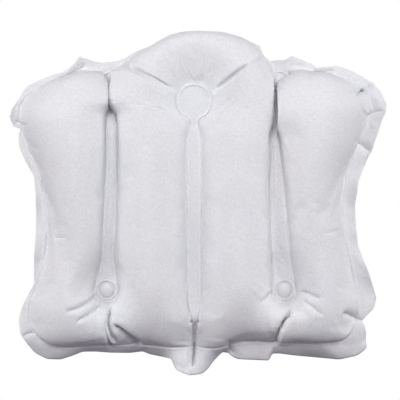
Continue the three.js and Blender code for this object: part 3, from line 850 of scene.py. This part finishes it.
middle_painted_light = FOOT_PAINTED_LIGHT + (NECK_PAINTED_LIGHT - FOOT_PAINTED_LIGHT) * painted_light_rise
on_ring = smooth((RING_RADIUS + RING_CLEAR - from_ring) / RING_BLEND)
middle_painted_light += (RING_PAINTED_LIGHT - middle_painted_light) * on_ring
in_middle = np.abs(front_points[:, 0]) < MIDDLE_HALF
give_values(front_mesh, "paleness", inner_weld * np.where(in_middle, middle_painted_light, 1))
punched(front_panel, STUDS.values(), STUD_HOLE, FRONT_FACE_Y)
front_wall = front_panel.modifiers.new("wall", "SOLIDIFY")
front_wall.thickness = FRONT_WALL
front_wall.offset = -1


def feed(tree, node, given):
    """Gives a node's sockets, by name or number, plain values or other nodes' outputs."""
    for socket, value in given.items():
        if isinstance(value, bpy.types.NodeSocket):
            tree.links.new(value, node.inputs[socket])
        else:
            node.inputs[socket].default_value = value


def made(tree, kind, given, **settings):
    """A shader node with its settings, and then its sockets, given."""
    node = tree.nodes.new("ShaderNode" + kind)
    for name, value in settings.items():
        setattr(node, name, value)
    feed(tree, node, given)
    return node


def worked_out(tree, operation, *terms, clamp=False):
    """The output of a math node on plain numbers or other nodes' outputs."""
    return made(tree, "Math", dict(enumerate(terms)), operation=operation, use_clamp=clamp).outputs[0]


def noise(tree, scale, detail, roughness=0.5):
    """A noise texture on Object coordinates."""
    place = made(tree, "TexCoord", {}).outputs["Object"]
    given = {"Vector": place, "Scale": scale, "Detail": detail, "Roughness": roughness}
    return made(tree, "TexNoise", given).outputs


def ranged(tree, value, before, after, kind="LINEAR"):
    """A value taken from one range to another."""
    limits = {"From Min": before[0], "From Max": before[1], "To Min": after[0], "To Max": after[1]}
    return made(tree, "MapRange", {"Value": value, **limits}, interpolation_type=kind).outputs["Result"]


def mixed(tree, factor, low, high):
    """A colour between two by a factor."""
    given = {"Factor": factor, "A": (*low, 1), "B": (*high, 1)}
    return made(tree, "Mix", given, data_type="RGBA").outputs["Result"]


def shader_group(name, inputs, outputs):
    """An empty node group with named number inputs, given with their defaults, and named number
    outputs. Also gives its inputs' sockets and the node that takes its outputs."""
    group = bpy.data.node_groups.new(name, "ShaderNodeTree")
    for socket, value in inputs.items():
        entry = group.interface.new_socket(socket, in_out="INPUT", socket_type="NodeSocketFloat")
        entry.default_value = value
    for socket in outputs:
        group.interface.new_socket(socket, in_out="OUTPUT", socket_type="NodeSocketFloat")
    return group, group.nodes.new("NodeGroupInput").outputs, group.nodes.new("NodeGroupOutput")


def new_material(name, given):
    """A material with its node tree and its shader, whose plain values are given."""
    material = bpy.data.materials.new(name)
    material.use_nodes = True
    tree = material.node_tree
    shader = tree.nodes["Principled BSDF"]
    feed(tree, shader, given)
    return material, tree, shader


def pile_group():
    """Terry pile: rounded loops of a cell texture, broken up by a fine noise. Its shade is lighter on
    the loops' tips, and its height is for a bump."""
    tree, given, leave = shader_group(
        "terry pile", {"Loops per metre": 750, "Flattened": 0}, ["Shade", "Height"]
    )
    place = made(tree, "TexCoord", {}).outputs["Object"]
    stir = noise(tree, 300, 2)["Color"]
    stirred = made(tree, "VectorMath", {0: stir, 1: [1.6 * MM] * 3, 2: place}, operation="MULTIPLY_ADD")
    cells = {"Vector": stirred.outputs[0], "Scale": given["Loops per metre"]}
    loops = made(tree, "TexVoronoi", cells, feature="F1")
    fine = noise(tree, worked_out(tree, "MULTIPLY", given["Loops per metre"], 1.7), 3, 0.6)["Fac"]
    tips = worked_out(tree, "MULTIPLY_ADD", loops.outputs["Distance"], -1.1, 1)
    shade = worked_out(tree, "MULTIPLY_ADD", fine, 0.7, tips)
    left = worked_out(tree, "MULTIPLY_ADD", given["Flattened"], -0.55, 1)
    feed(tree, leave, {"Shade": shade, "Height": worked_out(tree, "MULTIPLY", shade, left)})
    return tree


PILE = pile_group()
WELD_FLAT = 1.5 * MM
# Width of the painted highlight along the bead
BEAD_HIGHLIGHT_WIDTH = 1.3 * MM
PAINTED_STRIP_LIGHT_GAIN = 0.19


def terry_material():
    """Off-white terry: pile bump, flattened on the welds, and a faint cloudiness of cool and warm. Its
    colour is multiplied by the pile's shade, a blotchy noise, a painted highlight along the bead and
    painted light on the welded strips."""
    material, tree, shader = new_material("terry", {
        "Roughness": 0.92, "Sheen Weight": 0.12, "Sheen Roughness": 0.5, "Specular IOR Level": 0.2,
    })
    welded = made(tree, "Attribute", {}, attribute_name="weld_width").outputs["Fac"]
    # Painted light on the welded strips and pads, read from the mesh
    inner = made(tree, "Attribute", {}, attribute_name="paleness").outputs["Fac"]
    flattened = worked_out(tree, "DIVIDE", welded, WELD_FLAT, clamp=True)
    pile = made(tree, "Group", {}, node_tree=PILE)
    feed(tree, pile, {"Flattened": flattened})
    tint = mixed(tree, noise(tree, 14, 3)["Fac"], (0.755, 0.785, 0.81), (0.80, 0.79, 0.785))
    shade = ranged(tree, pile.outputs["Shade"], (0.2, 1.3), (0.955, 1.02))
    blotch = ranged(tree, noise(tree, 430, 3, 0.6)["Fac"], (0.3, 0.7), (0.945, 1.055))
    # Painted highlight: a line along each weld's bead is painted up to 3% lighter, where the raised bead
    # catches the light
    from_bead = worked_out(tree, "ABSOLUTE", worked_out(tree, "SUBTRACT", welded, BEAD_PLACE))
    bead_highlight = ranged(tree, from_bead, (BEAD_HIGHLIGHT_WIDTH, 0), (1, 1.03), "SMOOTHERSTEP")
    # Painted light: the welded strips and pads are made lighter by this gain
    painted_strip_lift = worked_out(tree, "MULTIPLY_ADD", inner, PAINTED_STRIP_LIGHT_GAIN, 1)
    gain = shade
    for factor in (worked_out(tree, "MULTIPLY", bead_highlight, painted_strip_lift), blotch):
        gain = worked_out(tree, "MULTIPLY", gain, factor)
    coloured = made(tree, "VectorMath", {0: tint}, operation="SCALE")
    feed(tree, coloured, {"Scale": gain})
    bump = made(tree, "Bump", {
        "Strength": 0.36, "Distance": 0.7 * MM, "Height": pile.outputs["Height"],
    })
    feed(tree, shader, {"Base Color": coloured.outputs[0], "Normal": bump.outputs["Normal"]})
    return material


front_mesh.materials.append(terry_material())
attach(front_panel, "pillow")
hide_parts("front_panel")

# Back panel: one thin calendered PVC sheet, welded to the terry sheet along the same welds. It
# swells about half as far, because the wall behind leaves it less room, and it puckers at the
# welds. The valve is welded into a round hole between the centre seam and the right side seam.
VALVE = np.array([44.5, 30]) * MM
VALVE_SEAT_Y = -4.7 * MM
VALVE_SEAT = 14 * MM
VALVE_BLEND = 20 * MM
VALVE_MOUTH = 8.4 * MM
BACK_FACE_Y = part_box("back_panel")[0][1] + 0.9 * MM


PUCKER_LENGTHS = (1.9 * MM, 3.1 * MM, 4.7 * MM)
PUCKER_HEIGHT = 0.5 * MM
PUCKER_REACH = 7 * MM


def puckered(height):
    """Short ripples that run in from the welds: the sum of three sines of the length along the weld,
    which grow from nothing at the weld and die away by an exponential of the distance from it."""
    waves = sum(np.sin(WELD_LENGTH / length) for length in PUCKER_LENGTHS)
    away = WELD_GAP / PUCKER_REACH
    return height + np.where(IN_CHAMBER, PUCKER_HEIGHT * waves * away * np.exp(1 - away), 0)


def seated(points):
    """Draws the sheet to a flat round seat under the valve, blended over a stretch round it."""
    gap = np.linalg.norm(points[:, [0, 2]] - VALVE, axis=1)
    share = smooth((gap - VALVE_SEAT) / VALVE_BLEND)
    points[:, 1] = VALVE_SEAT_Y * (1 - share) + points[:, 1] * share
    return points


BACK_WAVE = 0.5 * MM
BACK_WAVE_SCALE = 50 * MM
BACK_WALL = 0.5 * MM
BACK_HEIGHT = puckered(BACK_FULLNESS * np.sqrt(2 * SWELL))
back_panel = mesh_piece("back_sheet", inflated(BACK_FACE_Y, 1, BACK_HEIGHT), FACES[:, ::-1])
give_values(back_panel.data, "weld_width", WELD_WIDTH)
divided(back_panel)
back_mesh = back_panel.data
back_points = places(back_mesh)
back_way = normals(back_mesh)
back_on_weld = smooth(values(back_mesh, "weld_width") / MM)
back_points = folded(back_points, FORWARD, WELD_FOLDS + FLANGE_FOLDS)
back_swell = (1 - back_on_weld) * BACK_WAVE * uneven(back_points, BACK_WAVE_SCALE, seed=5)
back_points += back_swell[:, None] * back_way
back_points[:, 1] += back_on_weld * weld_waves(back_points)
move_to(back_mesh, seated(back_points))
punched(back_panel, STUDS.values(), STUD_HOLE, BACK_FACE_Y)
punched(back_panel, [VALVE], VALVE_MOUTH, VALVE_SEAT_Y)
back_wall = back_panel.modifiers.new("wall", "SOLIDIFY")
back_wall.thickness = BACK_WALL
back_wall.offset = -1


def film_group():
    """The skin of soft PVC: a slow waviness and a fine grain from the calender or the mould, as a
    height for a bump and as a mask for the gloss."""
    tree, given, leave = shader_group(
        "vinyl skin", {"Grain per metre": 900, "Waves per metre": 60}, ["Height", "Mask"]
    )
    grain = noise(tree, given["Grain per metre"], 2)["Fac"]
    waves = noise(tree, given["Waves per metre"], 3)["Fac"]
    feed(tree, leave, {"Height": worked_out(tree, "MULTIPLY_ADD", grain, 0.12, waves), "Mask": waves})
    return tree


VINYL_SKIN = film_group()
GLOSS_SPREAD = 0.07


def vinyl_material(name, low, high, roughness, grain, waves, bump_height, alpha=1.0):
    """Soft PVC between two near colours, with its gloss broken by the skin's mask."""
    material, tree, shader = new_material(name, {
        "Specular IOR Level": 0.5, "Coat Weight": 0.15, "Alpha": alpha,
    })
    skin = made(tree, "Group", {}, node_tree=VINYL_SKIN)
    feed(tree, skin, {"Grain per metre": grain, "Waves per metre": waves})
    mask = skin.outputs["Mask"]
    gloss = ranged(tree, mask, (0.3, 0.7), (roughness - GLOSS_SPREAD, roughness + GLOSS_SPREAD))
    bump = {"Strength": 0.5, "Distance": bump_height, "Height": skin.outputs["Height"]}
    feed(tree, shader, {
        "Base Color": mixed(tree, mask, low, high),
        "Roughness": gloss,
        "Normal": made(tree, "Bump", bump).outputs["Normal"],
    })
    return material


back_mesh.materials.append(vinyl_material(
    "back vinyl", (0.70, 0.73, 0.76), (0.78, 0.79, 0.80),
    roughness=0.42, grain=1400, waves=45, bump_height=0.8 * MM,
))
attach(back_panel, "pillow")
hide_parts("back_panel")

# Eyelets: a soft PVC ring welded on the front sheet over each stud hole, with a raised bead round it
# that the stud's head pulls against.
# Profiles are radii and depths in millimetres.
EYELET_PROFILE = [
    (4.0, -27.74), (4.0, -28.84), (8.7, -28.84), (9.175, -30.04), (10.125, -30.04), (10.6, -29.41),
    (10.6, -27.74), (4.0, -27.74),
]
TURNS = 72


def rounded(corners, radius):
    """A profile with its corners rounded: each gives way to a parabola that starts and ends up to the
    radius away, and never past the middle of a side."""
    corners = np.array(corners, float)
    here = corners[1:-1, None]
    starts = []
    for other in (corners[:-2, None], corners[2:, None]):
        run = other - here
        starts.append(here + run * np.minimum(radius / np.linalg.norm(run, axis=2, keepdims=True), 0.45))
    t = np.linspace(0, 1, 6)[:, None]
    arcs = (1 - t) ** 2 * starts[0] + 2 * t * (1 - t) * here + t**2 * starts[1]
    return np.vstack([corners[:1], arcs.reshape(-1, 2), corners[-1:]])


def turned(axis, profile):
    """A surface of revolution about a line through the wall at [x, z]: the profile's radii and depths
    in millimetres, turned through a full circle."""
    angle = np.linspace(0, 2 * np.pi, TURNS + 1)[:, None]
    radius, depth = np.array(profile).T * MM
    across, up = axis[0] + radius * np.cos(angle), axis[1] + radius * np.sin(angle)
    return np.stack([across, depth + 0 * angle, up], axis=2)


def closed_piece(name, grids, body, material):
    """A piece of one or more closed surfaces. Each is turned outwards by the sign of its volume, the
    sum over its cells of the volumes they span with the origin."""
    all_points, all_faces, start = [], [], 0
    for grid in grids:
        points, faces = merged(grid.reshape(-1, 3), grid_faces(grid))
        a, b, c, d = (points[faces[:, corner]] - points.mean(axis=0) for corner in range(4))
        volume = np.sum(a * np.cross(b, c)) + np.sum(a * np.cross(c, d))
        all_faces.append((faces if volume > 0 else faces[:, ::-1]) + start)
        all_points.append(points)
        start += len(points)
    piece = mesh_piece(name, np.vstack(all_points), np.vstack(all_faces))
    piece.data.materials.append(material)
    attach(piece, body)
    return piece


EYELET_VINYL = vinyl_material(
    "eyelet vinyl", (0.83, 0.84, 0.86), (0.88, 0.88, 0.89),
    roughness=0.42, grain=1200, waves=90, bump_height=0.3 * MM,
)
for cup, place in STUDS.items():
    corner = cup.removeprefix("cup_")
    eyelet = closed_piece(
        "eyelet_" + corner, [turned(place, rounded(EYELET_PROFILE, 0.3))], "pillow", EYELET_VINYL
    )
    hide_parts("eyelet_ring_" + corner)

# Suction cups: each is one moulding of soft clear PVC. Its stud goes through the eyelet from behind
# and a mushroom head holds it, so that the cup turns freely. A tab on the rim peels it off the wall.
HEAD_DOME = [(7.2 * np.sin(t), -30.34 - 2.4 * np.cos(t)) for t in np.linspace(0, np.pi / 2, 12)]
STUD_SIDE = [(6.3, -29.14), (3.4, -29.14), (3.4, -24.84), (6.0, -24.84), (6.0, -23.64), (3.6, -23.64)]
BELL_OUTSIDE = [(r, -11 + 9.4 * (r / 21) ** 2) for r in np.linspace(3.6, 21, 18)]
BELL_INSIDE = [(r, -9.2 + 9.2 * (r / 19) ** 2) for r in np.linspace(19, 0, 18)]
TAB_TOP, TAB_ROUND, TAB_WIDTH, TAB_THICKNESS, TAB_Y = 17.5, 25.5, 9.0, 1.5, -1.25


def pull_tab(place):
    """The tab below a cup: straight, then ending in half a circle, and closed at both ends. Its
    section is a rounded rectangle: half the width times the root of a cosine, and half the thickness
    times the root of a sine, each with its sign."""
    turn = np.linspace(0, np.pi / 2, 9)
    down = np.concatenate([[TAB_TOP, TAB_TOP], np.linspace(TAB_TOP + 1, TAB_ROUND, 5)[:-1]])
    down = np.concatenate([down, TAB_ROUND + TAB_WIDTH / 2 * np.sin(turn)])[:, None]
    width = np.concatenate([[0], np.full(5, TAB_WIDTH), TAB_WIDTH * np.cos(turn)])[:, None]
    thick = np.where(width > TAB_WIDTH / 100, TAB_THICKNESS, 0)
    angle = np.linspace(0, 2 * np.pi, 33)
    wide, deep = (np.sign(wave) * np.sqrt(np.abs(wave)) for wave in (np.cos(angle), np.sin(angle)))
    rows = [width / 2 * wide, TAB_Y + thick / 2 * deep, 0 * wide - down]
    return np.stack(rows, axis=2) * MM + [place[0], 0, place[1]]


CUP_PROFILE = HEAD_DOME[:-1] + list(map(tuple, rounded(
    [HEAD_DOME[-1]] + STUD_SIDE + BELL_OUTSIDE[:1], 0.35
))) + BELL_OUTSIDE[1:-1] + list(map(tuple, rounded(
    [BELL_OUTSIDE[-2], BELL_OUTSIDE[-1], (21, 0), BELL_INSIDE[0], BELL_INSIDE[1]], 0.5
)))[1:] + BELL_INSIDE[2:]
CUP_VINYL = vinyl_material(
    "cup vinyl", (0.86, 0.87, 0.88), (0.90, 0.91, 0.92),
    roughness=0.36, grain=500, waves=120, bump_height=0.15 * MM, alpha=0.9,
)
for cup, place in STUDS.items():
    corner = cup.removeprefix("cup_")
    moulding = closed_piece(
        "stud_cup_" + corner, [turned(place, CUP_PROFILE), pull_tab(place)], cup, CUP_VINYL
    )
    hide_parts("suction_cup_" + corner)

# Valve: a round flange is welded on the back sheet, and a thin web carries the stem, which pushes in
# flush or pulls out to be blown into. A plug on a short strap closes its mouth, and inside a flap
# hangs over its end and stops the air.
FLANGE_PROFILE = [(7.8, -4.4), (12.5, -4.4), (12.5, -3.9), (11.5, -3.4), (7.8, -3.4), (7.8, -4.4)]
STEM_PROFILE = [
    (2.9, -16.7), (4.7, -16.7), (4.7, -5.3), (5.7, -5.3), (5.7, -3.7), (2.9, -3.7), (2.9, -16.7),
]
VALVE_VINYL = vinyl_material(
    "valve vinyl", (0.74, 0.77, 0.80), (0.80, 0.81, 0.82),
    roughness=0.25, grain=500, waves=150, bump_height=0.15 * MM,
)
for node, profile, body in (
    ("valve_flange", FLANGE_PROFILE, "pillow"),
    ("valve_stem", STEM_PROFILE, "stem"),
):
    grids = [turned(VALVE, rounded(profile, 0.3))]
    fitting = closed_piece(node + "_turned", grids, body, VALVE_VINYL)
    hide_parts(node)
for node in ("valve_web", "valve_plug", "valve_flap", "valve_strap"):
    bpy.data.objects[node].material_slots[0].material = VALVE_VINYL

# Studio: a pale floor below the pillow, soft lamps above in front and to both sides, and a dim
# world that looks white to the camera.
scene = bpy.context.scene
scene.view_settings.view_transform = "Standard"
CAMERA_DISTANCE = 2.2
FRAME_WIDTH = 400 * PIXEL
FRAME_MIDDLE = from_photo((200, 200))[0]
camera_data = bpy.data.cameras.new("camera")
camera = bpy.data.objects.new("camera", camera_data)
scene.collection.objects.link(camera)
camera.location = (FRAME_MIDDLE[0], FRONT_FACE_Y - CAMERA_DISTANCE, FRAME_MIDDLE[1])
camera.rotation_euler = (np.pi / 2, 0, 0)
camera_data.sensor_width = 36
camera_data.lens = 36 * CAMERA_DISTANCE / FRAME_WIDTH
scene.camera = camera


def lamp(name, place, size, power):
    """A soft lamp of a width and a height at a place, turned to face the origin."""
    data = bpy.data.lights.new(name, "AREA")
    data.shape = "RECTANGLE"
    data.size, data.size_y = size
    data.energy = power
    piece = bpy.data.objects.new(name, data)
    scene.collection.objects.link(piece)
    piece.location = place
    piece.rotation_euler = (-Vector(place)).to_track_quat("-Z", "Y").to_euler()


lamp("front_lamp", place=(0.0, -2.0, 1.0), size=(1.3, 0.9), power=24)
lamp("left_lamp", place=(-1.7, -0.9, 0.4), size=(1.2, 1.2), power=18.7)
lamp("right_lamp", place=(1.7, -0.9, 0.4), size=(1.2, 1.2), power=17.8)
lamp("back_lamp", place=(0.0, 2.0, 1.0), size=(1.8, 0.9), power=34)

FLOOR_CORNERS = np.array([(-1.6, -1.3, -0.45), (1.6, -1.3, -0.45), (1.6, 1.6, -0.45), (-1.6, 1.6, -0.45)])
floor = mesh_piece("floor", FLOOR_CORNERS, np.array([(0, 1, 2, 3)]))
floor.visible_diffuse = False
floor_material, tree, shader = new_material("floor", {
    "Base Color": (0.6, 0.6, 0.6, 1), "Roughness": 0.9, "Emission Color": (1, 1, 1, 1),
})
seen = made(tree, "LightPath", {}).outputs["Is Camera Ray"]
feed(tree, shader, {"Emission Strength": worked_out(tree, "MULTIPLY", seen, 0.5)})
floor.data.materials.append(floor_material)

world = bpy.data.worlds.new("studio")
scene.world = world
world.use_nodes = True
tree = world.node_tree
rays = made(tree, "LightPath", {}).outputs
seen = rays["Is Camera Ray"]
for ray in ("Is Glossy Ray", "Is Transmission Ray"):
    seen = worked_out(tree, "MAXIMUM", seen, rays[ray])
feed(tree, tree.nodes["Background"], {"Color": mixed(tree, seen, (0.17, 0.149, 0.182), (1, 1, 1))})
